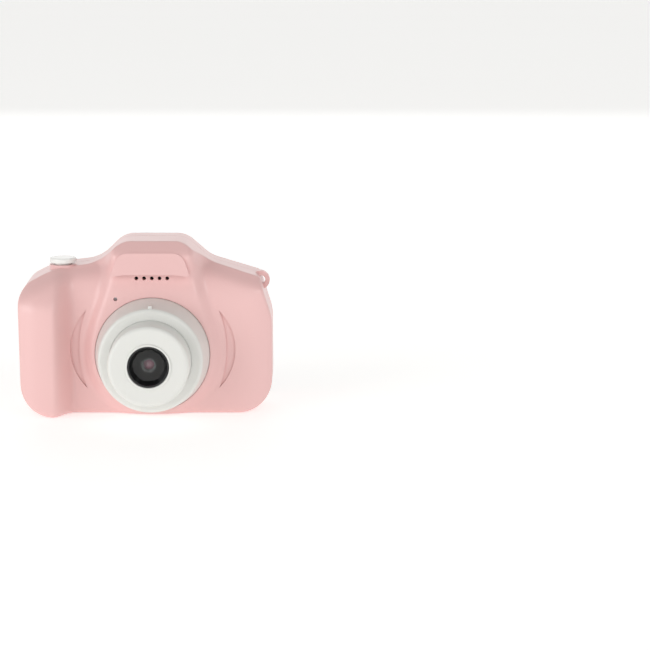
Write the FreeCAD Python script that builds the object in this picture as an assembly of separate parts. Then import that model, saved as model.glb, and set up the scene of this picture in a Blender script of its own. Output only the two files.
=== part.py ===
"""Children's digital camera: a palm-sized toy camera in two moulded shells, with a stepped lens barrel,
a shutter button, rear keys, a screen, a card slot, a charging socket and everything that they need inside.

Frame: +X to the right seen from the front, the lens points along -Y, +Z up. Origin at the bottom centre of
the whole camera. Millimetres.
"""
import FreeCAD, Part

import math
import os

from FreeCAD import Vector

# ---------------------------------------------------------------- driving dimensions
BODY_W = 82.0            # overall width
BODY_H = 56.5            # base to the top of the hump
BODY_T = 26.5            # main face to back face, without grip, lens and keys
LENS_REACH = 24.5        # lens front ahead of the main face
KEY_PROUD = 1.0          # key caps behind the back face
WALL = 2.0               # shell wall
AXIS_X = 2.2             # lens, hump and speaker lie on this line
LENS_Z = 20.0            # lens axis above the base
GRIP_PROUD = 8.5         # grip ahead of the main face
PLINTH_PROUD = 2.5       # raised ground under lens and hump ahead of the main face
FRONT_SHARE = 15.0       # depth of the front shell at the main face

DEPTH = LENS_REACH + BODY_T + KEY_PROUD
FACE_Y = -DEPTH / 2 + LENS_REACH         # main front face
BACK_Y = FACE_Y + BODY_T                 # back face
SEAM_Y = FACE_Y + FRONT_SHARE            # parting plane
PLINTH_Y = FACE_Y - PLINTH_PROUD
LEFT = -BODY_W / 2
RIGHT = BODY_W / 2

# outline of the shells
BASE_R = 11.0
SIDE_TAPER = 0.6         # the grip side leans in by this at the foot
SHOULDER_Z = BODY_H - 7.7   # foot of the hump
HUMP_HALF_TOP = 10.2
HUMP_HALF_FOOT = 18.4
HUMP_TOP_R = 8.0
HUMP_FOOT_R = 12.0
FRONT_EDGE_R = 1.8
BACK_EDGE_R = 5.0

CORNER_IN = 4.1          # the top right corner is cut back by this
CORNER_DROP = 17.5       # from this far below the shoulder height

# lanyard loop at the top right corner
LUG_OUT_R = 3.1
LUG_HOLE_R = 1.65
LUG_T = 2.6
LUG_INSET = 4.0          # loop centre in from the right side
LUG_DROP = 6.6           # loop centre below the shoulder height

# fits and thicknesses
SLIP = 0.1               # gap round a piece that is dropped in
MOVE_GAP = 0.15          # gap round a piece that moves
LIP_T = 0.9              # tongue on the rear shell
LIP_LEN = 1.2
SEAM_GAP = 0.25          # width and depth of the parting line

# screws
SCREW_X = 37.0           # shell screws, left and right of the middle
SCREW_LOW_Z = 12.0
SCREW_HIGH_Z = 33.5
SCREW_BOSS_R = 2.4
SCREW_WELL_R = 2.0
SCREW_SEAT = 3.5         # head seat behind the parting plane
SCREW_SHANK_R = 0.85

# lens barrel, measured forwards from the raised ground
SEAT_R = 18.8
SEAT_DEPTH = 0.6
BARREL_R = SEAT_R - 2 * SLIP
TIER_Y = 11.8            # front of the wide tier
TIER_R = 16.8
HOOD_R = 13.3
HOOD_Y = LENS_REACH - PLINTH_PROUD
EYE_R = 6.7              # opening in the hood
THROAT_R = 10.0          # opening in the shell behind the barrel
BARREL_SCREW_PCR = 14.3

# shutter button
SHUTTER_X = LEFT + 13.5
SHUTTER_Y = SEAM_Y - 5.6
SHUTTER_R = 4.4
SHUTTER_TRAVEL = 0.6
COLLAR_TOP_Z = SHOULDER_Z - 0.8
SHUTTER_CAP_T = 1.5
STEM_R = 2.8
SHUTTER_POST_X = 5.4
SHUTTER_BOARD_Z = COLLAR_TOP_Z - 7.6     # top of the small board under the button
SHUTTER_BOARD_T = 1.2

# main board, screen and keys
BOARD_T = 1.2
BOARD_BACK = 6.6         # back of the board ahead of the back face
BOARD_Y1 = BACK_Y - BOARD_BACK
BOARD_Y0 = BOARD_Y1 - BOARD_T
BOARD_X0 = LEFT + 7.35
BOARD_X1 = RIGHT - 7.5
BOARD_Z0 = 4.5
BOARD_Z1 = BODY_H - 14.0
SCREEN_X = 8.0
SCREEN_Z = 23.0
SCREEN_W = 41.6          # opening over the picture
SCREEN_H = 31.4
WINDOW_W = 46.0
WINDOW_H = 36.0
WINDOW_T = 1.0
WINDOW_R = 4.0
PANEL_W = 47.0
PANEL_H = 35.5
PANEL_T = 2.3
GASKET_T = 0.5
PAD_X = LEFT + 15.6      # centre of the direction keys
PAD_Z = 20.0
PAD_PITCH = 6.7
KEY_R = 2.3
OK_KEY_R = 3.1
KEY_TRAVEL = 0.4
KEY_FLANGE = 0.6
KEY_DISH = 0.25          # depth of the flat dish in a key's top, where its mark stands
KEYS = {
    "ok": (PAD_X, PAD_Z, OK_KEY_R),
    "up": (PAD_X, PAD_Z + PAD_PITCH, KEY_R),
    "down": (PAD_X, PAD_Z - PAD_PITCH, KEY_R),
    "left": (PAD_X + PAD_PITCH, PAD_Z, KEY_R),      # left and right as seen from behind
    "right": (PAD_X - PAD_PITCH, PAD_Z, KEY_R),
    "mode": (PAD_X - 5.0, PAD_Z + 14.0, KEY_R),
    "power": (PAD_X + 4.2, PAD_Z + 14.0, KEY_R),
}
BOARD_SCREWS = [(PAD_X - 0.4, 40.2), (PAD_X - 0.4, 7.0), (AXIS_X, 47.0)]
BOARD_POST_R = 2.0
LED_X, LED_Z = PAD_X + 6.4, 40.6

# sockets in the base
USB_X = 4.0
USB_W, USB_T, USB_LEN = 7.6, 2.8, 5.6
CARD_X = 21.0
CARD_W, CARD_T, CARD_LEN = 11.0, 0.8, 15.0
CARD_END_Z = 0.5
CARD_GAP = 0.2
COVER_X0, COVER_X1 = -3.0, 11.0
COVER_Y0 = SEAM_Y + 0.6
COVER_T = 1.2
HINGE_R = 0.6
HINGE_Y = COVER_Y0 + 5.5
HINGE_Z = HINGE_R + 0.05
PEG_R, PEG_LEN = 0.38, 1.0

# sound
SPEAKER_R = 7.2
SPEAKER_T = 3.4
SPEAKER_Z = BODY_H - 11.1
SPEAKER_Y = FACE_Y + 1.6
SOUND_HOLE_R = 0.62
SOUND_PITCH = 2.5
SOUND_HOLES = 5
SOUND_Z = BODY_H - 11.6     # just under the plate across the hump
BROW_PROUD = 1.5         # lower edge of the plate over the sound holes
MIC_X, MIC_Z, MIC_R = AXIS_X - 11.8, BODY_H - 18.3, 2.0

# battery
BATTERY_X0, BATTERY_X1 = 8.4, 34.0
BATTERY_Z0, BATTERY_Z1 = 8.0, BODY_H - 15.0
BATTERY_T = 6.0
BATTERY_Y1 = SEAM_Y - 0.5


# ---------------------------------------------------------------- small helpers


def vec(x, y, z):
    return Vector(x, y, z)


def rounded_wire(corners, y=0.0):
    """Closed wire in the plane y = const, from (x, z, radius) corners."""
    n = len(corners)
    spans = []
    for i, (x, z, r) in enumerate(corners):
        here = vec(x, y, z)
        before = vec(corners[i - 1][0], y, corners[i - 1][1])
        after = vec(corners[(i + 1) % n][0], y, corners[(i + 1) % n][1])
        u = (before - here).normalize()
        v = (after - here).normalize()
        half = u.getAngle(v) / 2
        if r <= 0:
            spans.append((here, None, here))
            continue
        reach = r / math.tan(half)
        middle = (u + v).normalize()
        spans.append((here + u * reach, here + middle * (r / math.sin(half) - r), here + v * reach))
    edges = []
    for i, (start, mid, end) in enumerate(spans):
        if mid is not None:
            edges.append(Part.Arc(start, mid, end).toShape())
        following = spans[(i + 1) % n][0]
        if (following - end).Length > 1e-6:
            edges.append(Part.LineSegment(end, following).toShape())
    return Part.Wire(edges)


def prism(corners, y0, y1, inset=0.0):
    """Solid between two planes across Y, from a rounded outline, optionally moved inwards."""
    face = Part.Face(rounded_wire(corners, y0))
    if inset:
        face = face.makeOffset2D(-inset, 0, False, False, False)
    return face.extrude(vec(0, y1 - y0, 0))


def block(x0, x1, y0, y1, z0, z1):
    return Part.makeBox(x1 - x0, y1 - y0, z1 - z0, vec(x0, y0, z0))


def rod_y(x, z, r, y0, y1):
    return Part.makeCylinder(r, y1 - y0, vec(x, y0, z), vec(0, 1, 0))


def rod_z(x, y, r, z0, z1):
    return Part.makeCylinder(r, z1 - z0, vec(x, y, z0), vec(0, 0, 1))


def rod_x(y, z, r, x0, x1):
    return Part.makeCylinder(r, x1 - x0, vec(x0, y, z), vec(1, 0, 0))


def rounded_box(x, z, w, h, r, y0, y1):
    """Plate across Y with rounded corners, centred on (x, z)."""
    corners = [(x - w / 2, z - h / 2, r), (x + w / 2, z - h / 2, r), (x + w / 2, z + h / 2, r), (x - w / 2, z + h / 2, r)]
    return prism(corners, y0, y1)


def rounded_plan(x0, x1, y0, y1, z0, z1, r):
    """Box with its four upright edges rounded."""
    box = block(x0, x1, y0, y1, z0, z1)
    return box.makeFillet(r, [e for e in box.Edges if e.BoundBox.ZLength > 0.9 * (z1 - z0)])


def smooth(t):
    t = max(0.0, min(1.0, t))
    return t * t * (3 - 2 * t)


def soft_ramp(d, width):
    """0 below the crease, d above it, blended over a width."""
    if d <= -width:
        return 0.0
    if d >= width:
        return d
    return (d + width) ** 2 / (4 * width)


# ---------------------------------------------------------------- outline and front relief
CORNERS = [
    (LEFT + SIDE_TAPER, 0.0, BASE_R),
    (RIGHT, 0.0, BASE_R),
    (RIGHT, SHOULDER_Z - CORNER_DROP, 14.0),
    (RIGHT - CORNER_IN, SHOULDER_Z - 4.45, 2.0),
    (AXIS_X + HUMP_HALF_FOOT, SHOULDER_Z + 0.5, HUMP_FOOT_R),
    (AXIS_X + HUMP_HALF_TOP, BODY_H, HUMP_TOP_R),
    (AXIS_X - HUMP_HALF_TOP, BODY_H, HUMP_TOP_R),
    (AXIS_X - HUMP_HALF_FOOT, SHOULDER_Z - 0.2, HUMP_FOOT_R),
    (LEFT + 10.5, SHOULDER_Z - 1.8, 20.0),
    (LEFT - 0.09, SHOULDER_Z - 7.0, 8.0),
]
SHOULDERS = (3, 7, 8)         # corners where the runs beside the hump start
LUG_X = RIGHT - LUG_INSET
LUG_Z = SHOULDER_Z - LUG_DROP

GRIP_FULL = LEFT + 11.4       # the grip has its full depth left of here
GRIP_FOOT = LEFT + 17.6       # and meets the main face here
GRIP_BREAK_Z = BODY_H - 20.5          # above this the grip leans back
GRIP_LEAN = 0.5
PLINTH_R = 19.3
TOWER_HALF = 12.7
TOWER_TOP_Z = BODY_H - 6.5
PLINTH_FLANK = 4.2            # width of the flank of the raised ground
CREST_Z = BODY_H - 3.9              # above this the hump front leans back
CREST_LEAN = 1.28
SCOOP_Z = BODY_H - 11.5
SCOOP_DEPTH = 1.1
ROLL_DEPTH = 4.0              # the front rolls back this far at the shoulders
ROLL_WIDTH = 4.6


def tower_half(z):
    share = max(0.0, min(1.0, (z - LENS_Z) / (TOWER_TOP_Z - LENS_Z)))
    return TOWER_HALF + (PLINTH_R - TOWER_HALF) * (1 + math.cos(math.pi * share)) / 2


def plinth_share(x, z):
    """1 on the raised ground round the lens and under the hump, 0 on the main face."""
    if z < LENS_Z:
        outside = math.hypot(x - AXIS_X, z - LENS_Z) - PLINTH_R
    else:
        outside = abs(x - AXIS_X) - tower_half(z)
    return 1 - smooth((outside + 0.4) / PLINTH_FLANK)


def off_shoulder(x, z):
    """Distance in from the straight runs of the outline on both sides of the hump."""
    nearest = BODY_W
    for k in SHOULDERS:
        x0, z0 = CORNERS[k][:2]
        run, rise = CORNERS[k + 1][0] - x0, CORNERS[k + 1][1] - z0
        share = ((x - x0) * run + (z - z0) * rise) / (run * run + rise * rise)
        share = max(0.0, min(1.0, share))
        nearest = min(nearest, math.hypot(x - x0 - share * run, z - z0 - share * rise))
    return nearest


def proud(x, z):
    """How far the front surface stands ahead of the main face."""
    main = -ROLL_DEPTH * max(0.0, 1 - off_shoulder(x, z) / ROLL_WIDTH) ** 2
    main -= 0.035 * soft_ramp(x - (RIGHT - 8), 2.0) ** 2
    main -= 0.030 * soft_ramp(z - (SHOULDER_Z - 12), 3.0) ** 2 * (1 if z < SHOULDER_Z else 1.0)
    grip = GRIP_PROUD * (1 - smooth((x - GRIP_FULL) / (GRIP_FOOT - GRIP_FULL)))
    lean = GRIP_LEAN * soft_ramp(z - GRIP_BREAK_Z, 1.6)
    edge = 0.05 * soft_ramp(LEFT + 7 - x, 2.0) ** 2
    grip = max(0.0, grip - lean * grip / GRIP_PROUD - edge)
    tower = PLINTH_PROUD - CREST_LEAN * soft_ramp(z - CREST_Z, 0.8)
    tower -= SCOOP_DEPTH * math.exp(-((z - SCOOP_Z) / 3.6) ** 2)
    share = plinth_share(x, z)
    ground = main + grip
    return ground * (1 - share) + tower * share


def front_y(x, z, wall=0.0):
    """Y of the front surface; with a wall, Y of the surface that lies that far inside it."""
    if not wall:
        total = 0.0
        for i in (-1, 0, 1):
            for k in (-1, 0, 1):
                total += (2 - abs(i)) * (2 - abs(k)) * proud(x + i * SOFTEN, z + k * SOFTEN)
        return FACE_Y - total / 16
    y = FACE_Y - proud(x, z)
    deepest = y + wall
    steps = 12
    for k in range(steps):
        angle = 2 * math.pi * k / steps
        for share in (0.5, 0.85, 1.0):
            d = wall * share
            lift = math.sqrt(max(0.0, wall * wall - d * d))
            found = FACE_Y - proud(x + d * math.cos(angle), z + d * math.sin(angle)) + lift
            deepest = max(deepest, found)
    return deepest


SKIN_STEP = 1.2               # spacing of the points that the front surface runs through
SOFTEN = 0.9                  # creases in the front surface are eased over this


def behind_skin(wall):
    """Solid from the front surface, or a surface inside it, back past the parting plane."""
    margin = 3.0
    nx = int((BODY_W + 2 * margin) / SKIN_STEP) + 1
    nz = int((BODY_H + 2 * margin) / SKIN_STEP) + 1
    rows = []
    for i in range(nx):
        x = LEFT - margin + i * (BODY_W + 2 * margin) / (nx - 1)
        row = []
        for k in range(nz):
            z = -margin + k * (BODY_H + 2 * margin) / (nz - 1)
            row.append(vec(x, front_y(x, z, wall), z))
        rows.append(row)
    surface = Part.BSplineSurface()
    surface.interpolate(rows)
    return surface.toShape().extrude(vec(0, 2 * BODY_T, 0))


SHELL_SCREWS = [(x, z) for x in (-SCREW_X, SCREW_X) for z in (SCREW_LOW_Z, SCREW_HIGH_Z)]
LENS_FLOOR_Y = PLINTH_Y + 2.4            # flat inner floor behind the barrel
BRACKET_R = HOOD_R + 1.6
BRACKET_T = 1.2
FLEX_Z = LENS_Z - 8.6
CAP_Z = COLLAR_TOP_Z + SHUTTER_TRAVEL + 0.1
KEY_SWITCH_Y = BACK_Y - WALL - 2.1       # back face of the key switches
PANEL_Y0 = BACK_Y - WALL - GASKET_T - PANEL_T
USB_Y0 = BOARD_Y0 - USB_T
CARD_Y = BOARD_Y0 - 1.3
MIC_Y = FACE_Y - 0.1


def turned(corners):
    """Solid of revolution about the lens axis, from (radius, forward, rounding) corners."""
    shape = Part.Face(rounded_wire(corners)).revolve(vec(0, 0, 0), vec(0, 0, 1), 360)
    shape.rotate(vec(0, 0, 0), vec(1, 0, 0), 90)
    shape.translate(vec(AXIS_X, PLINTH_Y, LENS_Z))
    return shape


def lens_y(forward):
    """Y of a plane that far ahead of the raised ground."""
    return PLINTH_Y - forward


def barrel_spots(radius, count, first):
    """(x, z) of points spaced evenly round the lens axis; first is an angle in degrees."""
    return [(AXIS_X + radius * math.cos(math.radians(first + 360 * k / count)),
             LENS_Z + radius * math.sin(math.radians(first + 360 * k / count))) for k in range(count)]


def tube(points, r):
    """Wire or lead along straight runs joined by arcs as large as the runs allow."""
    pts = [vec(*p) for p in points]
    edges = []
    start = pts[0]
    for i in range(1, len(pts) - 1):
        u = (pts[i - 1] - pts[i]).normalize()
        v = (pts[i + 1] - pts[i]).normalize()
        reach = 0.45 * min((pts[i - 1] - pts[i]).Length, (pts[i + 1] - pts[i]).Length)
        half = u.getAngle(v) / 2
        radius = reach * math.tan(half)
        middle = pts[i] + (u + v).normalize() * (radius / math.sin(half) - radius)
        edges.append(Part.LineSegment(start, pts[i] + u * reach).toShape())
        edges.append(Part.Arc(pts[i] + u * reach, middle, pts[i] + v * reach).toShape())
        start = pts[i] + v * reach
    edges.append(Part.LineSegment(start, pts[-1]).toShape())
    path = Part.Wire(edges)
    ring = Part.Wire([Part.makeCircle(r, pts[0], pts[1] - pts[0])])
    return path.makePipeShell([ring], True, False)


def fuse(first, *others):
    shape = first
    for other in others:
        shape = shape.fuse(other)
    return shape.removeSplitter()


def cut(first, *others):
    shape = first
    for other in others:
        shape = shape.cut(other)
    return shape


# ---------------------------------------------------------------- shells


def softened(solid, edges, sizes):
    """The solid with its edges rounded, at the largest of the sizes that works."""
    for size in sizes:
        try:
            rounded = solid.makeFillet(size, edges)
        except Part.OCCError:
            continue
        if rounded.isValid():
            return rounded
    return solid


def front_outer():
    solid = prism(CORNERS, -2 * BODY_T, SEAM_Y).common(behind_skin(0.0)).Solids[0]
    rim = [edge for edge in solid.Edges if edge.BoundBox.YMax < SEAM_Y - 1.0]
    return softened(solid, rim, (FRONT_EDGE_R, 0.8 * FRONT_EDGE_R, 0.6 * FRONT_EDGE_R))


def front_room():
    """Space inside the front shell."""
    return prism(CORNERS, -2 * BODY_T, SEAM_Y + 1, WALL).common(behind_skin(WALL))


def crescent(side):
    """Shallow moon-shaped recess beside the lens; side is -1 or 1."""
    z_mid, half_h = LENS_Z + 1.3, 12.8
    tip, outer, inner = 21.6, 26.9, 24.0
    low = vec(AXIS_X + side * tip, 0, z_mid - half_h)
    high = vec(AXIS_X + side * tip, 0, z_mid + half_h)
    bow = Part.Arc(low, vec(AXIS_X + side * outer, 0, z_mid), high).toShape()
    string = Part.Arc(high, vec(AXIS_X + side * inner, 0, z_mid), low).toShape()
    moon = Part.Face(Part.Wire([bow, string]))
    moon.translate(vec(0, FACE_Y - GRIP_PROUD, 0))
    return moon.extrude(vec(0, GRIP_PROUD + 0.7, 0))


def brow():
    """Raised plate across the hump, above the sound holes, with its lower corners drawn down."""
    middle = AXIS_X - 0.5
    tip, foot, crest = SCOOP_Z + 0.65, SCOOP_Z + 1.35, CREST_Z + 0.6
    outline = [
        (middle - 13.0, tip, 0.6),
        (middle - 8.6, foot, 3.0),
        (middle + 8.6, foot, 3.0),
        (middle + 13.0, tip, 0.6),
        (middle + 10.4, crest, 4.3),
        (middle - 10.4, crest, 4.3),
    ]
    plate = prism(outline, PLINTH_Y - 3, FACE_Y + 2.5)
    slab = block(-20, 24, PLINTH_Y - 0.05, PLINTH_Y + 6, foot - 6, crest)
    tilt = math.degrees(math.atan(BROW_PROUD / (crest - foot)))
    slab.rotate(vec(0, PLINTH_Y - 0.05, crest), vec(1, 0, 0), -tilt)
    return plate.common(slab)


def seam_step():
    """Ring cut from the front shell's edge that makes the parting line."""
    ring = block(LEFT - 5, RIGHT + 5, SEAM_Y - SEAM_GAP, SEAM_Y + 1, -5, BODY_H + 5)
    return ring.cut(prism(CORNERS, SEAM_Y - 1, SEAM_Y + 2, SEAM_GAP))


def front_shell():
    outer = front_outer()
    room = front_room()
    shell = outer.cut(room)
    shell = shell.cut(prism(CORNERS, SEAM_Y - LIP_LEN - SLIP, SEAM_Y + 1, WALL - LIP_T - SLIP))
    shell = shell.cut(seam_step())
    inside = []
    for x, z in SHELL_SCREWS:
        inside.append(rod_y(x, z, SCREW_BOSS_R, -2.0, SEAM_Y))
    rib_y = BATTERY_Y1 - BATTERY_T - 0.5
    for z in (BATTERY_Z0 + 5, BATTERY_Z1 - 6.5):
        inside.append(block(BATTERY_X0 + 6, BATTERY_X1 - 1, PLINTH_Y, rib_y, z, z + 1.2))
    inside.append(rod_y(AXIS_X, LENS_Z, THROAT_R + 7.0, PLINTH_Y, LENS_FLOOR_Y))
    cup = rod_y(AXIS_X, SPEAKER_Z, SPEAKER_R + 1.1, PLINTH_Y, SPEAKER_Y + 1.4)
    inside.append(cup.cut(rod_y(AXIS_X, SPEAKER_Z, SPEAKER_R - 1, -BODY_T, BODY_T)))
    inside.append(rod_y(MIC_X, MIC_Z, MIC_R + 1.0, PLINTH_Y, MIC_Y + 1.2))
    for side in (-1, 1):
        inside.append(rod_z(SHUTTER_X + side * SHUTTER_POST_X, SHUTTER_Y, 1.3, SHUTTER_BOARD_Z, COLLAR_TOP_Z))
    added = [piece.common(outer) for piece in inside]
    added.append(rod_z(SHUTTER_X, SHUTTER_Y, SHUTTER_R, COLLAR_TOP_Z - 3.6, COLLAR_TOP_Z))
    added.append(rod_y(LUG_X, LUG_Z, LUG_OUT_R, SEAM_Y - LUG_T - 0.4, SEAM_Y - 0.4))
    added.append(brow().cut(room))
    shell = fuse(shell, *added)
    openings = [
        rod_y(LUG_X, LUG_Z, LUG_HOLE_R, -2 * BODY_T, SEAM_Y).cut(prism(CORNERS, -2 * BODY_T, SEAM_Y + 1)),
        rod_y(AXIS_X, LENS_Z, SEAT_R, -2 * BODY_T, lens_y(-SEAT_DEPTH)),
        rod_y(AXIS_X, LENS_Z, THROAT_R, -BODY_T, 0),
        rod_y(AXIS_X, SPEAKER_Z, SPEAKER_R + SLIP, SPEAKER_Y, SPEAKER_Y + 6),
        rod_y(MIC_X, MIC_Z, 0.65, -BODY_T, 0),
        rod_y(MIC_X, MIC_Z, MIC_R + SLIP, MIC_Y, MIC_Y + 6),
        rod_z(SHUTTER_X, SHUTTER_Y, STEM_R + MOVE_GAP, SHUTTER_BOARD_Z, COLLAR_TOP_Z + 1),
        rod_z(SHUTTER_X, SHUTTER_Y, STEM_R + 1.2, SHUTTER_BOARD_Z, COLLAR_TOP_Z - 2.8),
        crescent(-1),
        crescent(1),
    ]
    for k in range(SOUND_HOLES):
        x = AXIS_X + (k - (SOUND_HOLES - 1) / 2) * SOUND_PITCH
        openings.append(rod_y(x, SOUND_Z, SOUND_HOLE_R, -BODY_T, 0))
    for x, z in SHELL_SCREWS:
        openings.append(rod_y(x, z, SCREW_SHANK_R + 0.05, SEAM_Y - 9, SEAM_Y + 1))
    for x, z in barrel_spots(BARREL_SCREW_PCR, 3, 60):
        openings.append(rod_y(x, z, 0.9, -BODY_T, 0))
    for side in (-1, 1):
        x = SHUTTER_X + side * SHUTTER_POST_X
        openings.append(rod_z(x, SHUTTER_Y, 0.6, SHUTTER_BOARD_Z - 1, SHUTTER_BOARD_Z + 3.2))
    return cut(shell, *openings)


def rear_shell():
    outer = prism(CORNERS, SEAM_Y, BACK_Y)
    rim = [edge for edge in outer.Edges if edge.BoundBox.YMin > BACK_Y - 0.01]
    outer = softened(outer, rim, (BACK_EDGE_R, 0.8 * BACK_EDGE_R, 0.5 * BACK_EDGE_R))
    room = prism(CORNERS, SEAM_Y - 1, BACK_Y - WALL, WALL)
    rim = [edge for edge in room.Edges if edge.BoundBox.YMin > BACK_Y - WALL - 0.01]
    room = softened(room, rim, (BACK_EDGE_R - WALL, 0.6 * BACK_EDGE_R - WALL + 0.1))
    shell = outer.cut(room)
    tongue = prism(CORNERS, SEAM_Y - LIP_LEN, SEAM_Y + 0.5, WALL - LIP_T)
    tongue = tongue.cut(prism(CORNERS, SEAM_Y - 3, SEAM_Y + 3, WALL))
    for x, z in SHELL_SCREWS:
        tongue = tongue.cut(rod_y(x, z, SCREW_BOSS_R + SLIP, SEAM_Y - 5, SEAM_Y))
    inside = []
    for x, z in SHELL_SCREWS:
        inside.append(rod_y(x, z, SCREW_WELL_R + 1.0, SEAM_Y, BACK_Y))
    for x, z in BOARD_SCREWS:
        inside.append(rod_y(x, z, BOARD_POST_R, BOARD_Y1, BACK_Y - 1.0))
    added = [piece.common(outer) for piece in inside]
    shell = fuse(shell, tongue, *added)
    recess = rounded_box(SCREEN_X, SCREEN_Z, WINDOW_W + 2 * SLIP, WINDOW_H + 2 * SLIP, WINDOW_R,
                         BACK_Y - WINDOW_T, BACK_Y + 1)
    opening = rounded_box(SCREEN_X, SCREEN_Z, SCREEN_W, SCREEN_H, 1.2, BACK_Y - 2 * WALL, BACK_Y + 1)
    openings = [recess, opening, rod_y(LED_X, LED_Z, 0.9, BACK_Y - 3, BACK_Y + 1)]
    for x, z in SHELL_SCREWS:
        openings.append(rod_y(x, z, SCREW_SHANK_R + 0.2, SEAM_Y - 1, BACK_Y + 1))
        openings.append(rod_y(x, z, SCREW_WELL_R, SEAM_Y + SCREW_SEAT, BACK_Y + 1))
    for x, z in BOARD_SCREWS:
        openings.append(rod_y(x, z, 0.65, BOARD_Y1 - 1, BACK_Y - WALL))
    for x, z, r in KEYS.values():
        openings.append(rod_y(x, z, r + MOVE_GAP, BACK_Y - WALL - 1, BACK_Y + 1))
    openings += [
        block(COVER_X0, COVER_X1, COVER_Y0 - SLIP, HINGE_Y + HINGE_R + 0.25, -1, COVER_T + 0.15),
        rod_x(HINGE_Y, HINGE_Z, PEG_R + 0.06, COVER_X0 - PEG_LEN - 0.1, COVER_X1 + PEG_LEN + 0.1),
        block(USB_X - USB_W / 2 - 0.2, USB_X + USB_W / 2 + 0.2, USB_Y0 - SLIP, BOARD_Y0 + SLIP, -1, WALL + 1),
        block(CARD_X - CARD_W / 2 - 0.3, CARD_X + CARD_W / 2 + 0.3, CARD_Y - 0.3, CARD_Y + CARD_T + 0.3, -1, WALL + 1),
        notch(),
    ]
    return cut(shell, *openings)


def notch():
    """Thumbnail dip in the base where the card's end can be reached."""
    return rod_y(CARD_X, -3.2, 4.4, CARD_Y - 1.6, CARD_Y + CARD_T + 1.6)


# ---------------------------------------------------------------- fasteners


def screw_y(x, z, seat_y, toward, head_r, head_t, shank_r, length):
    """Pan-head screw with a cross recess; toward is the sign of Y the shank points to."""
    head = rod_y(x, z, head_r, min(seat_y, seat_y - toward * head_t), max(seat_y, seat_y - toward * head_t))
    outer_edge = seat_y - toward * head_t
    rims = [e for e in head.Edges if abs(e.BoundBox.YMin - outer_edge) < 0.01 and e.BoundBox.YLength < 0.01]
    head = head.makeFillet(0.35, rims)
    shank = rod_y(x, z, shank_r, min(seat_y, seat_y + toward * length), max(seat_y, seat_y + toward * length))
    y0 = min(outer_edge, outer_edge + toward * 0.45)
    arm = 0.62 * head_r
    slot_a = block(x - arm, x + arm, y0, y0 + 0.45, z - 0.2, z + 0.2)
    slot_b = block(x - 0.2, x + 0.2, y0, y0 + 0.45, z - arm, z + arm)
    return fuse(head, shank).cut(slot_a).cut(slot_b)


def shell_screws():
    seat = SEAM_Y + SCREW_SEAT
    screws = [screw_y(x, z, seat, -1, 1.75, 1.2, SCREW_SHANK_R, 11.0) for x, z in SHELL_SCREWS]
    return Part.makeCompound(screws)


def lens_screws():
    spots = barrel_spots(BARREL_SCREW_PCR, 3, 60)
    return Part.makeCompound([screw_y(x, z, LENS_FLOOR_Y, -1, 1.5, 1.0, 0.8, 6.2) for x, z in spots])


def board_screws():
    return Part.makeCompound([screw_y(x, z, BOARD_Y0, 1, 1.5, 1.0, 0.6, 4.8) for x, z in BOARD_SCREWS])


def shutter_screws():
    low = SHUTTER_BOARD_Z - SHUTTER_BOARD_T
    screws = []
    for side in (-1, 1):
        x = SHUTTER_X + side * SHUTTER_POST_X
        head = rod_z(x, SHUTTER_Y, 1.2, low - 0.8, low)
        screws.append(fuse(head, rod_z(x, SHUTTER_Y, 0.55, low, SHUTTER_BOARD_Z + 3.0)))
    return Part.makeCompound(screws)


# ---------------------------------------------------------------- lens barrel


def lens_base_ring():
    ring = turned([
        (BARREL_R, -SEAT_DEPTH, 0),
        (BARREL_R, 0.2, 0),
        (TIER_R, TIER_Y, 1.3),
        (HOOD_R + 0.04, TIER_Y, 0),
        (HOOD_R + 0.04, TIER_Y - 1.6, 0),
        (HOOD_R + 1.5, TIER_Y - 1.6, 0),
        (HOOD_R + 1.7, 1.0, 0),
        (BRACKET_R + SLIP, -SEAT_DEPTH, 0),
    ])
    posts = [rod_y(x, z, 1.9, lens_y(TIER_Y - 2.9), lens_y(BRACKET_T - SEAT_DEPTH))
             for x, z in barrel_spots(BARREL_SCREW_PCR, 3, 60)]
    mark = block(AXIS_X - 0.6, AXIS_X + 0.6, lens_y(TIER_Y - 1.2), lens_y(TIER_Y - 5.0),
                 LENS_Z + TIER_R - 1.0, LENS_Z + TIER_R + 0.95)
    ring = fuse(ring, mark, *posts)
    holes = [rod_y(x, z, 0.85, lens_y(4.8), lens_y(-2)) for x, z in barrel_spots(BARREL_SCREW_PCR, 3, 60)]
    return cut(ring, *holes)


def lens_hood():
    hood = turned([
        (HOOD_R + 1.4, TIER_Y - 2.8, 0),
        (HOOD_R + 1.4, TIER_Y - 1.6, 0),
        (HOOD_R, TIER_Y - 1.6, 0),
        (HOOD_R - 0.25, HOOD_Y - 0.4, 1.4),
        (EYE_R + 0.7, HOOD_Y - 0.4, 0),
        (EYE_R + 0.6, HOOD_Y, 0.15),
        (EYE_R, HOOD_Y, 0.15),
        (EYE_R, HOOD_Y - 2.6, 0),
        (HOOD_R - 1.7, HOOD_Y - 2.6, 0.6),
        (HOOD_R - 1.5, TIER_Y - 2.8, 0),
    ])
    gaps = [rod_y(x, z, 2.1, lens_y(TIER_Y - 1.0), lens_y(0)) for x, z in barrel_spots(BARREL_SCREW_PCR, 3, 60)]
    return cut(hood, *gaps)


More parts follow.
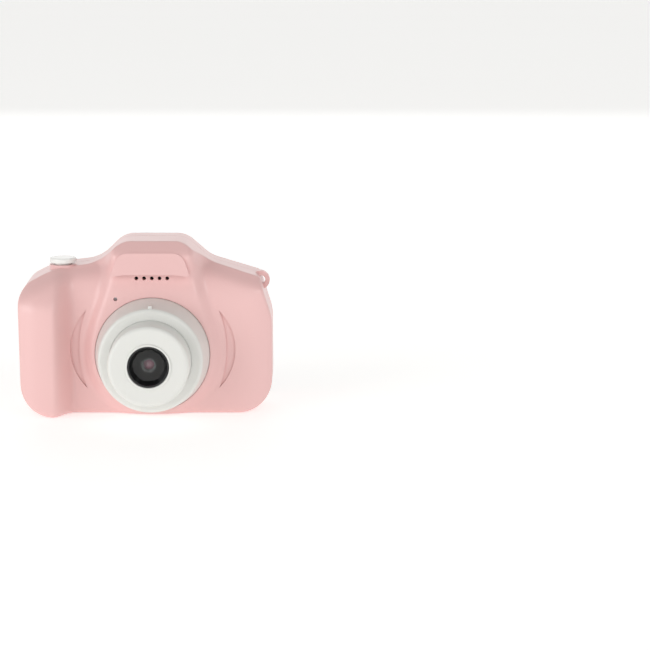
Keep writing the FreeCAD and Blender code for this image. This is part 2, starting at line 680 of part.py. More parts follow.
def lens_bezel():
    back = HOOD_Y - 4.8
    return turned([
        (2.4, back, 0),
        (EYE_R - SLIP, back, 0),
        (EYE_R - SLIP, back + 1.0, 0),
        (EYE_R + 1.5, back + 1.0, 0),
        (EYE_R + 1.5, back + 2.2, 0),
        (EYE_R - SLIP, back + 2.2, 0),
        (EYE_R - SLIP, HOOD_Y - 0.6, 0),
        (EYE_R - 0.6, HOOD_Y - 0.6, 0),
        (EYE_R - 1.55, back + 1.9, 0),
        (EYE_R - 1.55, back + 0.9, 0),
        (2.4, back + 0.9, 0),
    ])


def lens_window():
    back = HOOD_Y - 4.8
    return rod_y(AXIS_X, LENS_Z, EYE_R - 1.55 - SLIP, lens_y(back + 1.7), lens_y(back + 0.9))


def lens_holder():
    top = HOOD_Y - 4.8
    return turned([(1.2, top - 4.6, 0), (3.9, top - 4.6, 0), (3.9, top - 3.2, 0), (3.3, top - 3.2, 0),
                   (3.3, top, 0.2), (1.75, top, 0), (1.75, top - 1.8, 0), (1.2, top - 1.8, 0)])


def lens_glass():
    back = HOOD_Y - 4.8 - 1.8
    disc = rod_y(AXIS_X, LENS_Z, 1.65, lens_y(back + 1.1), lens_y(back))
    dome = Part.makeSphere(2.6, vec(AXIS_X, lens_y(back + 1.1) + 2.6, LENS_Z))
    return disc.common(dome)


def sensor_module():
    front = HOOD_Y - 4.8 - 4.6
    half = 4.25
    return block(AXIS_X - half, AXIS_X + half, lens_y(front), lens_y(front - 2), LENS_Z - half, LENS_Z + half)


def sensor_board():
    front = HOOD_Y - 4.8 - 6.6
    half = 6.0
    return block(AXIS_X - half, AXIS_X + half, lens_y(front), lens_y(front - 0.8), LENS_Z - half, LENS_Z + half)


def module_bracket():
    """Plate behind the barrel that carries the camera module on a short square column."""
    front = HOOD_Y - 4.8 - 7.4
    plate = rod_y(AXIS_X, LENS_Z, BRACKET_R, lens_y(BRACKET_T - SEAT_DEPTH), lens_y(-SEAT_DEPTH))
    half = 6.4
    column = block(AXIS_X - half, AXIS_X + half, lens_y(front), lens_y(0), LENS_Z - half, LENS_Z + half)
    well = block(AXIS_X - 4.6, AXIS_X + 4.6, lens_y(front + 1), lens_y(-2), LENS_Z - 4.6, LENS_Z + 4.6)
    slot = block(AXIS_X - 3.3, AXIS_X + 3.3, lens_y(2), lens_y(-2), FLEX_Z - 0.3, FLEX_Z + 0.6)
    holes = [rod_y(x, z, 0.95, lens_y(2), lens_y(-2)) for x, z in barrel_spots(BARREL_SCREW_PCR, 3, 60)]
    return cut(fuse(plate, column), well, slot, *holes)


def sensor_flex():
    """Flat cable from the camera module's board, back through the plate to the main board."""
    y_start = lens_y(HOOD_Y - 4.8 - 7.0)
    x0, x1 = AXIS_X - 3.0, AXIS_X + 3.0
    down = block(x0, x1, y_start - 0.15, y_start + 0.15, FLEX_Z, LENS_Z - 6.0)
    back = block(x0, x1, y_start - 0.15, BOARD_Y0, FLEX_Z, FLEX_Z + 0.3)
    end = block(x0, x1, BOARD_Y0 - 0.3, BOARD_Y0, FLEX_Z, FLEX_Z + 3.5)
    return fuse(down, back, end)


# ---------------------------------------------------------------- shutter button


def shutter_button():
    cap = rod_z(SHUTTER_X, SHUTTER_Y, SHUTTER_R, CAP_Z, CAP_Z + SHUTTER_CAP_T)
    top = [e for e in cap.Edges if e.BoundBox.ZMin > CAP_Z + SHUTTER_CAP_T - 0.01]
    cap = cap.makeFillet(0.5, top)
    stem = rod_z(SHUTTER_X, SHUTTER_Y, STEM_R, COLLAR_TOP_Z - 3.9, CAP_Z + 0.2)
    flange = rod_z(SHUTTER_X, SHUTTER_Y, STEM_R + 0.8, COLLAR_TOP_Z - 3.9, COLLAR_TOP_Z - 2.9)
    nose = rod_z(SHUTTER_X, SHUTTER_Y, 1.5, SHUTTER_BOARD_Z + 2.8, COLLAR_TOP_Z - 3.8)
    return fuse(cap, stem, flange, nose)


def shutter_board():
    half = SHUTTER_POST_X + 1.6
    plate = block(SHUTTER_X - half, SHUTTER_X + half, SHUTTER_Y - 4, SHUTTER_Y + 4,
                  SHUTTER_BOARD_Z - SHUTTER_BOARD_T, SHUTTER_BOARD_Z)
    holes = [rod_z(SHUTTER_X + side * SHUTTER_POST_X, SHUTTER_Y, 0.7, 0, BODY_H) for side in (-1, 1)]
    return cut(plate, *holes)


def shutter_switch():
    body = block(SHUTTER_X - 3, SHUTTER_X + 3, SHUTTER_Y - 3, SHUTTER_Y + 3, SHUTTER_BOARD_Z, SHUTTER_BOARD_Z + 2.2)
    return body.cut(rod_z(SHUTTER_X, SHUTTER_Y, 1.1, SHUTTER_BOARD_Z + 0.3, SHUTTER_BOARD_Z + 3))


def shutter_plunger():
    return rod_z(SHUTTER_X, SHUTTER_Y, 1.0, SHUTTER_BOARD_Z + 1.0, SHUTTER_BOARD_Z + 2.8)


def shutter_wires():
    low = SHUTTER_BOARD_Z - SHUTTER_BOARD_T
    leads = [tube([(x, SHUTTER_Y + 2.5, low), (x, SHUTTER_Y + 2.5, low - 2.4), (x, BOARD_Y0, low - 2.4)], 0.4)
             for x in (SHUTTER_X + 2.0, SHUTTER_X + 3.4)]
    return Part.makeCompound(leads)


# ---------------------------------------------------------------- rear keys


def key_cap(name):
    x, z, r = KEYS[name]
    cap = rod_y(x, z, r, BACK_Y - WALL - 0.8, BACK_Y + KEY_PROUD)
    top = [e for e in cap.Edges if e.BoundBox.YMin > BACK_Y + KEY_PROUD - 0.01]
    cap = cap.makeFillet(0.45, top).cut(rod_y(x, z, r - 0.75, BACK_Y + KEY_PROUD - KEY_DISH, BACK_Y + 5))
    flange = rod_y(x, z, r + 0.5, BACK_Y - WALL - 0.8, BACK_Y - WALL - 0.2)
    stem = rod_y(x, z, 1.2, KEY_SWITCH_Y + 0.5, BACK_Y - WALL - 0.5)
    return fuse(cap, flange, stem)


def key_plunger(name):
    x, z, r = KEYS[name]
    return rod_y(x, z, 1.0, KEY_SWITCH_Y - 0.9, KEY_SWITCH_Y + 0.5)


def key_switches():
    bodies = []
    for x, z, r in KEYS.values():
        body = block(x - 2.2, x + 2.2, BOARD_Y1, KEY_SWITCH_Y, z - 2.2, z + 2.2)
        bodies.append(body.cut(rod_y(x, z, 1.1, KEY_SWITCH_Y - 1.5, KEY_SWITCH_Y + 1)))
    return Part.makeCompound(bodies)


def charge_led():
    return block(LED_X - 0.8, LED_X + 0.8, BOARD_Y1, BOARD_Y1 + 0.8, LED_Z - 0.5, LED_Z + 0.5)


def light_pipe():
    pipe = rod_y(LED_X, LED_Z, 0.8, BOARD_Y1 + 1.0, BACK_Y)
    return fuse(pipe, rod_y(LED_X, LED_Z, 1.4, BACK_Y - WALL - 0.8, BACK_Y - WALL))


# ---------------------------------------------------------------- boards, screen, ports


def main_board():
    inner = prism(CORNERS, BOARD_Y0, BOARD_Y1, WALL + 0.5)
    plate = block(BOARD_X0, BOARD_X1, BOARD_Y0, BOARD_Y1, BOARD_Z0, BOARD_Z1)
    tab = block(AXIS_X - 5.2, AXIS_X + 5.2, BOARD_Y0, BOARD_Y1, BOARD_Z1 - 1, BOARD_SCREWS[2][1] + 2.6)
    board = plate.fuse(tab).removeSplitter().common(inner)
    holes = [rod_y(x, z, 0.8, BOARD_Y0 - 1, BOARD_Y1 + 1) for x, z in BOARD_SCREWS]
    wells = [rod_y(x, z, SCREW_WELL_R + 1.3, BOARD_Y0 - 1, BOARD_Y1 + 1) for x, z in SHELL_SCREWS]
    return cut(board, *holes, *wells)


def board_chips():
    """Processor, memory, regulator and the cable connectors, on the front of the main board."""
    places = [
        (-14.0, 22.0, 12.0, 12.0, 1.4),
        (-15.6, 33.2, 7.0, 6.0, 1.1),
        (-27.0, 15.0, 5.0, 5.0, 1.2),
        (-14.0, 10.0, 4.0, 4.0, 1.8),
        (AXIS_X, FLEX_Z + 6.6, 9.0, 3.0, 1.6),
        (AXIS_X - 10.0, 29.6, 3.2, 1.6, 0.9),
        (-27.0, 26.0, 6.4, 3.0, 1.6),
    ]
    return Part.makeCompound([block(x - w / 2, x + w / 2, BOARD_Y0 - t, BOARD_Y0, z - h / 2, z + h / 2)
                              for x, z, w, h, t in places])


def lcd_holder():
    y1 = PANEL_Y0
    plate = rounded_box(SCREEN_X, SCREEN_Z, PANEL_W + 1.4, PANEL_H + 1.4, 1.0, BOARD_Y1, y1)
    well = rounded_box(SCREEN_X, SCREEN_Z, PANEL_W - 8, PANEL_H - 8, 1.0, BOARD_Y1 - 1, y1 - 0.8)
    rim = rounded_box(SCREEN_X, SCREEN_Z, PANEL_W + 1.4, PANEL_H + 1.4, 1.0, y1, y1 + 1.0)
    rim = rim.cut(rounded_box(SCREEN_X, SCREEN_Z, PANEL_W + 2 * SLIP, PANEL_H + 2 * SLIP, 0.5, y1 - 1, y1 + 2))
    slot = block(SCREEN_X + 9, SCREEN_X + 21, BOARD_Y1 - 1, y1 + 2, SCREEN_Z - PANEL_H / 2 - 2, SCREEN_Z - PANEL_H / 2 + 1.2)
    return fuse(plate, rim).cut(well).cut(slot)


def lcd_panel():
    return rounded_box(SCREEN_X, SCREEN_Z, PANEL_W, PANEL_H, 0.4, PANEL_Y0, PANEL_Y0 + PANEL_T)


def lcd_gasket():
    frame = rounded_box(SCREEN_X, SCREEN_Z, PANEL_W - 0.6, PANEL_H - 0.6, 0.6, PANEL_Y0 + PANEL_T, BACK_Y - WALL)
    return frame.cut(rounded_box(SCREEN_X, SCREEN_Z, SCREEN_W + 0.4, SCREEN_H + 0.4, 0.6, BOARD_Y1, BACK_Y))


def lcd_flex():
    """Flat cable under the screen, from the panel down onto the back of the main board."""
    x0, x1 = SCREEN_X + 10, SCREEN_X + 20
    low = SCREEN_Z - PANEL_H / 2
    drop = block(x0, x1, PANEL_Y0 + 0.4, PANEL_Y0 + 0.7, low - 0.3, low)
    run = block(x0, x1, BOARD_Y1, PANEL_Y0 + 0.7, low - 0.3, low - 0.05)
    foot = block(x0, x1, BOARD_Y1, BOARD_Y1 + 0.3, low - 0.3, low + 1.0)
    return fuse(drop, run, foot)


def screen_window():
    return rounded_box(SCREEN_X, SCREEN_Z, WINDOW_W, WINDOW_H, WINDOW_R - SLIP, BACK_Y - WINDOW_T, BACK_Y)


def usb_socket():
    x0, x1, z0, z1 = USB_X - USB_W / 2, USB_X + USB_W / 2, WALL + SLIP, WALL + SLIP + USB_LEN
    shell = rounded_plan(x0, x1, USB_Y0, BOARD_Y0, z0, z1, 0.9)
    mouth = rounded_plan(x0 + 0.35, x1 - 0.35, USB_Y0 + 0.35, BOARD_Y0 - 0.35, z0 - 1, z1 - 1.2, 0.6)
    middle = (USB_Y0 + BOARD_Y0) / 2
    blade = block(x0 + 1.4, x1 - 1.4, middle - 0.3, middle + 0.3, z0 + 0.8, z1 - 1.0)
    return fuse(shell.cut(mouth), blade)


def card_socket():
    half = CARD_W / 2 + 1.2
    body = block(CARD_X - half, CARD_X + half, CARD_Y - 0.5, BOARD_Y0, WALL + SLIP, CARD_END_Z + CARD_LEN + 1.2)
    slot = block(CARD_X - CARD_W / 2 - CARD_GAP, CARD_X + CARD_W / 2 + CARD_GAP, CARD_Y - 0.15,
                 CARD_Y + CARD_T + 0.15, 0, CARD_END_Z + CARD_LEN + 0.3)
    return body.cut(slot)


def memory_card():
    card = block(CARD_X - CARD_W / 2, CARD_X + CARD_W / 2, CARD_Y, CARD_Y + CARD_T, CARD_END_Z, CARD_END_Z + CARD_LEN)
    corner = block(CARD_X + CARD_W / 2 - 1.6, CARD_X + CARD_W / 2 + 1, CARD_Y - 1, CARD_Y + 2,
                   CARD_END_Z + CARD_LEN - 5, CARD_END_Z + CARD_LEN + 1)
    return card.cut(corner)


def port_cover():
    x0, x1 = COVER_X0 + SLIP, COVER_X1 - SLIP
    low = HINGE_Z - HINGE_R
    leaf = block(x0, x1, COVER_Y0, HINGE_Y, low, low + COVER_T)
    knuckle = rod_x(HINGE_Y, HINGE_Z, HINGE_R, x0, x1)
    pegs = rod_x(HINGE_Y, HINGE_Z, PEG_R, COVER_X0 - PEG_LEN, COVER_X1 + PEG_LEN)
    dip = rod_x(COVER_Y0 - 0.1, low - 0.3, 0.8, (x0 + x1) / 2 - 2, (x0 + x1) / 2 + 2)
    return fuse(leaf, knuckle, pegs).cut(dip)


# ---------------------------------------------------------------- sound and power


def speaker():
    basket = rod_y(AXIS_X, SPEAKER_Z, SPEAKER_R, SPEAKER_Y, SPEAKER_Y + 1.2)
    magnet = rod_y(AXIS_X, SPEAKER_Z, SPEAKER_R - 2.2, SPEAKER_Y, SPEAKER_Y + SPEAKER_T)
    return fuse(basket, magnet)


def speaker_wires():
    start = SPEAKER_Y + SPEAKER_T
    leads = [tube([(x, start, SPEAKER_Z - 2), (x, start + 5, SPEAKER_Z - 2), (x, start + 5, SPEAKER_Z - 5),
                   (x, BOARD_Y0, SPEAKER_Z - 5)], 0.45) for x in (AXIS_X - 1.5, AXIS_X + 1.5)]
    return Part.makeCompound(leads)


def microphone():
    return rod_y(MIC_X, MIC_Z, MIC_R, MIC_Y, MIC_Y + 1.6)


def microphone_wires():
    leads = [tube([(x, MIC_Y + 1.6, MIC_Z), (x, MIC_Y + 6, MIC_Z), (x, MIC_Y + 6, MIC_Z - 3),
                   (x, BOARD_Y0, MIC_Z - 3)], 0.35) for x in (MIC_X + 0.8, MIC_X - 0.8)]
    return Part.makeCompound(leads)


def battery():
    y0 = BATTERY_Y1 - BATTERY_T
    cell = block(BATTERY_X0, BATTERY_X1, y0, BATTERY_Y1, BATTERY_Z0, BATTERY_Z1)
    return cell.makeFillet(1.0, cell.Edges)


def battery_pad():
    y1 = BATTERY_Y1 - BATTERY_T
    return block(BATTERY_X0 + 5, BATTERY_X1 - 2, y1 - 0.5, y1, BATTERY_Z0 + 3, BATTERY_Z1 - 4)


def battery_wires():
    y = BATTERY_Y1 - BATTERY_T / 2
    leads = [tube([(BATTERY_X0, y, z), (BATTERY_X0 - 2.2, y, z), (BATTERY_X0 - 2.2, BOARD_Y0, z)], 0.5)
             for z in (BATTERY_Z1 - 4.0, BATTERY_Z1 - 5.6)]
    return Part.makeCompound(leads)


NODES = {
    "front_shell": front_shell,
    "rear_shell": rear_shell,
    "shell_screws": shell_screws,
    "lens_base_ring": lens_base_ring,
    "lens_hood": lens_hood,
    "lens_bezel": lens_bezel,
    "lens_window": lens_window,
    "lens_holder": lens_holder,
    "lens_glass": lens_glass,
    "sensor_module": sensor_module,
    "sensor_board": sensor_board,
    "module_bracket": module_bracket,
    "sensor_flex": sensor_flex,
    "lens_screws": lens_screws,
    "shutter_button": shutter_button,
    "shutter_plunger": shutter_plunger,
    "shutter_switch": shutter_switch,
    "shutter_board": shutter_board,
    "shutter_screws": shutter_screws,
    "shutter_wires": shutter_wires,
    "key_switches": key_switches,
    "charge_led": charge_led,
    "light_pipe": light_pipe,
    "main_board": main_board,
    "board_chips": board_chips,
    "board_screws": board_screws,
    "lcd_holder": lcd_holder,
    "lcd_panel": lcd_panel,
    "lcd_gasket": lcd_gasket,
    "lcd_flex": lcd_flex,
    "screen_window": screen_window,
    "usb_socket": usb_socket,
    "card_socket": card_socket,
    "memory_card": memory_card,
    "port_cover": port_cover,
    "speaker": speaker,
    "speaker_wires": speaker_wires,
    "microphone": microphone,
    "microphone_wires": microphone_wires,
    "battery": battery,
    "battery_pad": battery_pad,
    "battery_wires": battery_wires,
}


def build_all():
    shapes = {}
    for name, make in NODES.items():
        shapes[name] = make()
    for name in KEYS:
        shapes["key_" + name] = key_cap(name)
        shapes["key_" + name + "_plunger"] = key_plunger(name)
    return shapes


if __name__ == "__main__":
    os.makedirs("parts", exist_ok=True)
    for name, shape in build_all().items():
        shape.exportStep("parts/" + name + ".step")
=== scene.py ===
import math
import bmesh
import bpy
from mathutils import Matrix, Vector


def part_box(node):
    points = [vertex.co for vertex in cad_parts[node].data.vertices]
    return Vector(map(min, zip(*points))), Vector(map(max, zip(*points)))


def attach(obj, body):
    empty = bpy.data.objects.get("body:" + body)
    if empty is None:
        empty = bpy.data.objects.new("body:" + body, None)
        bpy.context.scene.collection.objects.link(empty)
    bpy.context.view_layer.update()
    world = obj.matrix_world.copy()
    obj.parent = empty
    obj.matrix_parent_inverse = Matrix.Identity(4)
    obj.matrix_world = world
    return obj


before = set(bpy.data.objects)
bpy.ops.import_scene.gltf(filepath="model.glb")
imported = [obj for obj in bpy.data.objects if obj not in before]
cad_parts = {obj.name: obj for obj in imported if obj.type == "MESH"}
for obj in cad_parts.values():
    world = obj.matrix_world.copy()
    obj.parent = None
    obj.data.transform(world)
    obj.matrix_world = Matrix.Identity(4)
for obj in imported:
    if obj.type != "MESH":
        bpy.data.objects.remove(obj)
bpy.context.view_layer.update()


# Shells. Two halves moulded in ABS and screwed together from behind, with a small door of the same plastic over the
# charging port. The mould was polished, so the pink surface is glossy with a very slight waviness that softens the
# edges of its reflections.
def linear(colour):
    """An sRGB hex colour as linear red, green, blue and alpha."""
    parts = [int(colour[i:i + 2], 16) / 255 for i in (1, 3, 5)]
    return [c / 12.92 if c <= 0.04045 else ((c + 0.055) / 1.055) ** 2.4 for c in parts] + [1.0]


def add(tree, kind, settings=None, links=None):
    """A new node with its settings, and links into it as {input: (node, output)}."""
    node = tree.nodes.new(kind)
    for key, value in (settings or {}).items():
        if isinstance(key, int) or key in node.inputs:
            node.inputs[key].default_value = value
        else:
            setattr(node, key, value)
    for key, (source, output) in (links or {}).items():
        tree.links.new(source.outputs[output], node.inputs[key])
    return node


def moulded(name, light, dark, roughness, patch_mm, relief_mm, relief_depth_mm, **shader):
    """Moulded plastic: slow changes of tone, a roughness that varies a little, and a fine relief."""
    material = bpy.data.materials.new(name)
    material.use_nodes = True
    tree = material.node_tree
    tree.nodes.clear()
    place = add(tree, "ShaderNodeTexCoord")
    patches = add(tree, "ShaderNodeTexNoise", {"Scale": 1000 / patch_mm, "Detail": 3.0, "Roughness": 0.55},
                  {"Vector": (place, "Object")})
    relief = add(tree, "ShaderNodeTexNoise", {"Scale": 1000 / relief_mm, "Detail": 4.0, "Roughness": 0.6},
                 {"Vector": (place, "Object")})
    tone = add(tree, "ShaderNodeMix", {"data_type": "RGBA", 6: linear(dark), 7: linear(light)},
               {0: (patches, "Fac")})
    gloss = add(tree, "ShaderNodeMapRange", {"From Min": 0.3, "From Max": 0.7, "To Min": roughness[0],
                                             "To Max": roughness[1]}, {"Value": (relief, "Fac")})
    bump = add(tree, "ShaderNodeBump", {"Strength": 1.0, "Distance": relief_depth_mm / 1000},
               {"Height": (relief, "Fac")})
    surface = add(tree, "ShaderNodeBsdfPrincipled", shader,
                  {"Base Color": (tone, 2), "Roughness": (gloss, 0), "Normal": (bump, 0)})
    add(tree, "ShaderNodeOutputMaterial", {}, {"Surface": (surface, 0)})
    return material


def give(material, *nodes):
    """Puts a material on CAD nodes."""
    for name in nodes:
        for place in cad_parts[name].material_slots:
            place.material = material


def stand(name, bm, material):
    """A new object with the mesh drawn in bm, in one material."""
    made = bpy.data.meshes.new(name)
    bm.to_mesh(made)
    bm.free()
    piece = bpy.data.objects.new(name, made)
    bpy.context.scene.collection.objects.link(piece)
    piece.data.materials.append(material)
    return piece


pink_abs = moulded("pink_gloss_abs", "#E9C0BE", "#E7BBB9", (0.28, 0.32), 45, 22, 0.003, IOR=1.53)
give(pink_abs, "front_shell", "rear_shell", "port_cover")


# Lens barrel. A wide ring with a narrower hood in front, both moulded in white ABS with a satin gloss. White ABS lets
# a little light in, which fills the shadows between the tiers, and its white leans towards a cool grey.
white_abs = moulded("white_satin_abs", "#E0E0DC", "#DADBD7", (0.30, 0.42), 30, 5, 0.008, IOR=1.53,
                    **{"Subsurface Weight": 0.12, "Subsurface Radius": (0.002, 0.002, 0.0018),
                       "Subsurface Scale": 1.0})
give(white_abs, "lens_base_ring", "lens_hood")


# Eye of the lens. A black gloss sleeve holds a flat clear window, and a small coated glass lens sits behind it in a
# black holder. The coating throws back a red violet, the only colour in the eye.
black_abs = moulded("black_gloss_abs", "#141416", "#0C0C0E", (0.07, 0.12), 20, 4, 0.006, IOR=1.53)
give(black_abs, "lens_bezel", "lens_holder")
black_matte = moulded("black_matte_moulding", "#1D1D1F", "#141415", (0.45, 0.6), 12, 1.0, 0.01, IOR=1.5)
give(black_matte, "sensor_module")
HAZE_SCALE = 220.0
clear = bpy.data.materials.new("clear_acrylic")
clear.use_nodes = True
tree = clear.node_tree
tree.nodes.clear()
place = add(tree, "ShaderNodeTexCoord")
haze = add(tree, "ShaderNodeTexNoise", {"Scale": HAZE_SCALE, "Detail": 2.0},
           {"Vector": (place, "Object")})
polish = add(tree, "ShaderNodeMapRange", {"To Min": 0.0, "To Max": 0.02}, {"Value": (haze, "Fac")})
surface = add(tree, "ShaderNodeBsdfPrincipled", {"Base Color": linear("#F4F6F6"), "IOR": 1.49,
                                                 "Transmission Weight": 1.0}, {"Roughness": (polish, 0)})
add(tree, "ShaderNodeOutputMaterial", {}, {"Surface": (surface, 0)})
give(clear, "lens_window", "screen_window", "light_pipe")
coated = moulded("coated_lens_glass", "#A02A58", "#7A2048", (0.03, 0.06), 3, 2, 0.0005, IOR=1.6,
                 **{"Coat Weight": 1.0, "Coat Roughness": 0.03})
give(coated, "lens_glass")


# Shutter button and rear keys. White gloss ABS caps on their own stems. The caps are polished harder than the barrel.
KEYS = ("ok", "up", "down", "left", "right", "mode", "power")
cap_abs = moulded("white_gloss_abs", "#F1F1EE", "#EAEAE7", (0.16, 0.24), 20, 5, 0.006, IOR=1.53)
give(cap_abs, "shutter_button", *["key_" + key for key in KEYS])


# Signs on the rear keys. Each stands 0.2 mm proud of the dish in its key's top: an arrowhead on the four direction
# keys, a ring on the middle one, a square frame on the mode key and a broken ring with a bar on the power key.
SIGN_T = 0.0002
DISH = 0.00025
FULL_TURN = 2 * math.pi
ARROW_R, ARROW_ROUND = 0.00105, 0.00025
RING_R, RING_W = 0.00125, 0.0004
FRAME_R, FRAME_W = 0.0009, 0.0004
POWER_R, POWER_W = 0.00085, 0.0003
BAR_HALF_W, BAR_STRETCH, BAR_UP = 0.00015, 3.6, 0.0009
TO_REAR = Matrix.Rotation(math.pi, 3, "Y") @ Matrix.Rotation(-math.pi / 2, 3, "X")
sign_abs = moulded("grey_satin_abs", "#8F8C90", "#858286", (0.35, 0.45), 3, 0.8, 0.004, IOR=1.53)


def arrow(bm, turn):
    """Arrowhead that points up before it is turned."""
    made = bmesh.ops.create_circle(bm, cap_ends=True, segments=3, radius=ARROW_R)
    bmesh.ops.bevel(bm, geom=made["verts"], affect="VERTICES", offset=ARROW_ROUND, segments=4,
                    profile=0.5, material=-1)
    bmesh.ops.rotate(bm, verts=bm.verts, cent=(0, 0, 0), matrix=Matrix.Rotation(turn, 3, "Z"))


def band(bm, radius, width, first, sweep, steps):
    """Flat ring or part of one."""
    inner, outer = [bm.verts.new((reach * math.cos(first), reach * math.sin(first), 0))
                    for reach in (radius, radius + width)]
    edge = bm.edges.new((inner, outer))
    bmesh.ops.spin(bm, geom=[edge], cent=(0, 0, 0), axis=(0, 0, 1), angle=sweep, steps=steps,
                   use_merge=sweep >= FULL_TURN)


def sign(name, key, draw):
    """A drawn outline raised to a sign, stood on the key's dish and carried by the key."""
    bm = bmesh.new()
    draw(bm)
    raised = bmesh.ops.extrude_face_region(bm, geom=list(bm.faces))
    top = [v for v in raised["geom"] if isinstance(v, bmesh.types.BMVert)]
    bmesh.ops.translate(bm, verts=top, vec=(0, 0, SIGN_T))
    bmesh.ops.remove_doubles(bm, verts=bm.verts, dist=1e-7)
    low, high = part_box("key_" + key)
    middle = Vector(((low[0] + high[0]) / 2, high[1] - DISH, (low[2] + high[2]) / 2))
    bmesh.ops.rotate(bm, verts=bm.verts, cent=(0, 0, 0), matrix=TO_REAR)
    bmesh.ops.translate(bm, verts=bm.verts, vec=middle)
    bmesh.ops.recalc_face_normals(bm, faces=bm.faces)
    piece = stand(name, bm, sign_abs)
    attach(piece, key + "_key")


def mode_frame(bm):
    """Square frame: a band of four straight steps."""
    band(bm, FRAME_R, FRAME_W, math.pi / 4, FULL_TURN, 4)


def power_mark(bm):
    """Ring that is open at the top, with a bar in the opening."""
    band(bm, POWER_R, POWER_W, math.radians(125), math.radians(290), 30)
    bar = bmesh.ops.create_grid(bm, x_segments=1, y_segments=1, size=BAR_HALF_W)["verts"]
    bmesh.ops.scale(bm, verts=bar, vec=(1, BAR_STRETCH, 1))
    bmesh.ops.translate(bm, verts=bar, vec=(0, BAR_UP, 0))


for key, turn in (("up", 0.0), ("left", math.pi / 2), ("down", math.pi), ("right", -math.pi / 2)):
    sign("sign_" + key, key, lambda bm, turn=turn: arrow(bm, turn))
sign("sign_ok", "ok", lambda bm: band(bm, RING_R, RING_W, 0.0, FULL_TURN, 40))
sign("sign_mode", "mode", mode_frame)
sign("sign_power", "power", power_mark)


# Screen. A 2 inch panel, dark when it is off, behind the clear window; the window has a black border printed on its
# back that hides the panel's edge and the foam.
BORDER_W, BORDER_T = 0.0026, 0.00004
BORDER_ROUND = 0.0038
BORDER_CLEAR = 0.0002
BORDER_IN = 0.00006
panel = moulded("unlit_panel", "#16181C", "#101216", (0.08, 0.10), 25, 6, 0.0002, IOR=1.52)
give(panel, "lcd_panel")
ink = moulded("black_screen_ink", "#111112", "#0B0B0C", (0.4, 0.5), 6, 0.4, 0.001, IOR=1.5)
low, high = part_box("screen_window")
bm = bmesh.new()
plate = bmesh.ops.create_grid(bm, x_segments=1, y_segments=1, size=0.5)["verts"]
bmesh.ops.scale(bm, verts=plate, vec=(high[0] - low[0] - BORDER_CLEAR, high[2] - low[2] - BORDER_CLEAR, 1))
bmesh.ops.bevel(bm, geom=plate, affect="VERTICES", offset=BORDER_ROUND, segments=10, profile=0.5,
                material=-1)
bmesh.ops.inset_region(bm, faces=list(bm.faces), thickness=BORDER_W, use_even_offset=True,
                       use_boundary=True)
middle = max(bm.faces, key=lambda face: face.calc_area())
bmesh.ops.delete(bm, geom=[middle], context="FACES")
bmesh.ops.rotate(bm, verts=bm.verts, cent=(0, 0, 0), matrix=Matrix.Rotation(math.pi / 2, 3, "X"))
bmesh.ops.translate(bm, verts=bm.verts,
                    vec=((low[0] + high[0]) / 2, low[1] + BORDER_IN, (low[2] + high[2]) / 2))
bmesh.ops.solidify(bm, geom=list(bm.faces), thickness=BORDER_T)
bmesh.ops.recalc_face_normals(bm, faces=bm.faces)
border = stand("window_border", bm, ink)
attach(border, "camera_body")


# Boards and everything on them: green solder mask, black chips, plated steel sockets, amber film cables, red leads.
board = moulded("green_solder_mask", "#1F6B3C", "#175A31", (0.25, 0.4), 6, 0.8, 0.01, IOR=1.55)
give(board, "main_board", "sensor_board", "shutter_board")
give(black_matte, "board_chips", "key_switches", "shutter_switch", "shutter_plunger", "speaker", "memory_card",
     *["key_" + key + "_plunger" for key in KEYS])
film = moulded("amber_polyimide", "#C2812E", "#B37226", (0.2, 0.3), 8, 1.5, 0.004, IOR=1.6)
give(film, "sensor_flex", "lcd_flex")
lead = moulded("red_pvc_lead", "#B3241F", "#9E1D19", (0.35, 0.45), 6, 0.8, 0.004, IOR=1.53)
give(lead, "shutter_wires", "battery_wires", "speaker_wires", "microphone_wires")
white_matte = moulded("white_matte_moulding", "#DADAD6", "#CFCFCB", (0.45, 0.6), 15, 1.2, 0.01, IOR=1.5)
give(white_matte, "module_bracket", "lcd_holder", "charge_led")
foam = moulded("grey_foam", "#4B4B4E", "#3A3A3D", (0.85, 0.95), 3, 0.5, 0.05, IOR=1.45)
give(foam, "lcd_gasket", "battery_pad")
steel = moulded("plated_steel", "#C9C9CB", "#B9B9BC", (0.22, 0.36), 4, 0.6, 0.004, Metallic=1.0)
give(steel, "usb_socket", "card_socket", "shell_screws", "lens_screws", "board_screws", "shutter_screws",
     "microphone")
pouch = moulded("battery_pouch", "#D2D4D7", "#C2C4C8", (0.3, 0.42), 9, 2.0, 0.03, Metallic=1.0)
give(pouch, "battery")


# Floor and light. A sheet of backlit white acrylic that shows only from above, a broad lamp in front on each side, and
# a weak one behind that whitens the top. The room is bright near the horizon and dimmer overhead.
FLOOR_Z = -0.0002
FLOOR_HALF = 6.0
FLOOR_GLOW = 0.36
SKY_LOW, SKY_HIGH = 1.10, 0.42
SKY_DIM_BY = 0.7
backlit = moulded("backlit_white_acrylic", "#FCFCFB", "#FAFAF9", (0.6, 0.7), 300, 2.0, 0.0, IOR=1.45,
                  **{"Emission Color": linear("#FFFFFF"), "Emission Strength": FLOOR_GLOW})
bm = bmesh.new()
bmesh.ops.create_grid(bm, x_segments=1, y_segments=1, size=FLOOR_HALF)
bmesh.ops.translate(bm, verts=bm.verts, vec=(0, 0, FLOOR_Z))
floor = stand("floor", bm, backlit)
sheet = backlit.node_tree
side = add(sheet, "ShaderNodeNewGeometry")
through = add(sheet, "ShaderNodeBsdfTransparent")
lit = next(n for n in sheet.nodes if n.type == "BSDF_PRINCIPLED")
one_way = add(sheet, "ShaderNodeMixShader", {}, {0: (side, "Backfacing"), 1: (lit, 0), 2: (through, 0)})
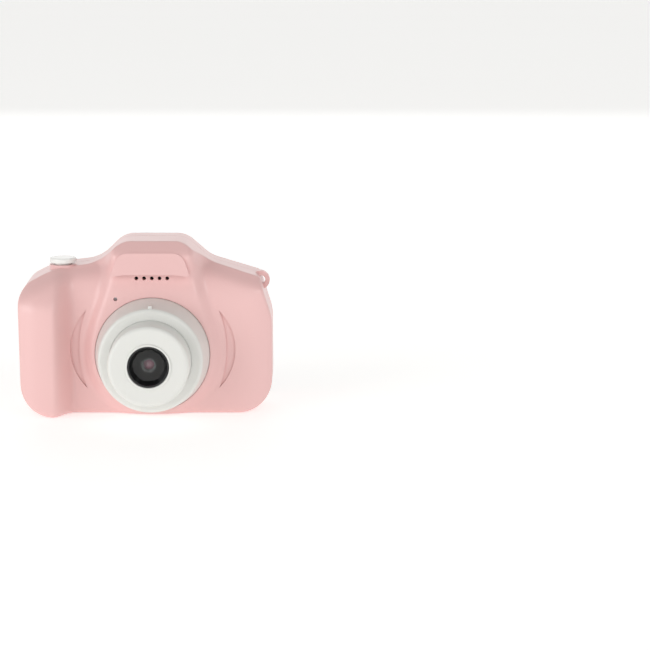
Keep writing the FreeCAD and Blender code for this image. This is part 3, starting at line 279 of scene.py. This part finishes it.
end = next(n for n in sheet.nodes if n.type == "OUTPUT_MATERIAL")
sheet.links.new(one_way.outputs[0], end.inputs["Surface"])

world = bpy.data.worlds.new("studio")
bpy.context.scene.world = world
world.use_nodes = True
sky = world.node_tree
aimed = add(sky, "ShaderNodeTexCoord")
axes = add(sky, "ShaderNodeSeparateXYZ", {}, {0: (aimed, "Generated")})
glow = add(sky, "ShaderNodeMapRange",
           {"From Min": 0.0, "From Max": SKY_DIM_BY, "To Min": SKY_LOW, "To Max": SKY_HIGH},
           {"Value": (axes, "Z")})
sky.nodes["Background"].inputs["Color"].default_value = linear("#FDFCFA")
sky.links.new(glow.outputs[0], sky.nodes["Background"].inputs["Strength"])

LAMPS = {
    "front_left": ((-0.85, -0.80, 0.30), (0.0, 0.0, 0.03), 0.80, 4.6),
    "front_right": ((0.60, -0.85, 0.60), (0.0, 0.0, 0.03), 0.40, 1.6),
    "behind": ((0.0, 0.80, 0.45), (0.0, 0.0, 0.04), 0.80, 1.0),
}
for name, (spot, aim, size, power) in LAMPS.items():
    light = bpy.data.lights.new(name, "AREA")
    light.shape = "SQUARE"
    light.size = size
    light.energy = power
    lamp = bpy.data.objects.new(name, light)
    lamp.location = spot
    lamp.rotation_euler = (Vector(aim) - Vector(spot)).to_track_quat("-Z", "Y").to_euler()
    bpy.context.scene.collection.objects.link(lamp)


# Camera. It stands about 0.85 m in front and looks down by 10.3 degrees, past the right of the object.
VIEW_DOWN = math.radians(10.3)
STAND_OFF = 0.850
AIM = Vector((0.0583, -0.004, 0.02975))
FIELD = math.radians(14.1424)
lens = bpy.data.cameras.new("camera")
lens.angle = FIELD
lens.clip_start = 0.01
camera = bpy.data.objects.new("camera", lens)
camera.location = AIM + STAND_OFF * Vector((0, -math.cos(VIEW_DOWN), math.sin(VIEW_DOWN)))
camera.rotation_euler = (math.pi / 2 - VIEW_DOWN, 0, 0)
bpy.context.scene.collection.objects.link(camera)
bpy.context.scene.camera = camera
bpy.context.scene.view_settings.view_transform = "Standard"
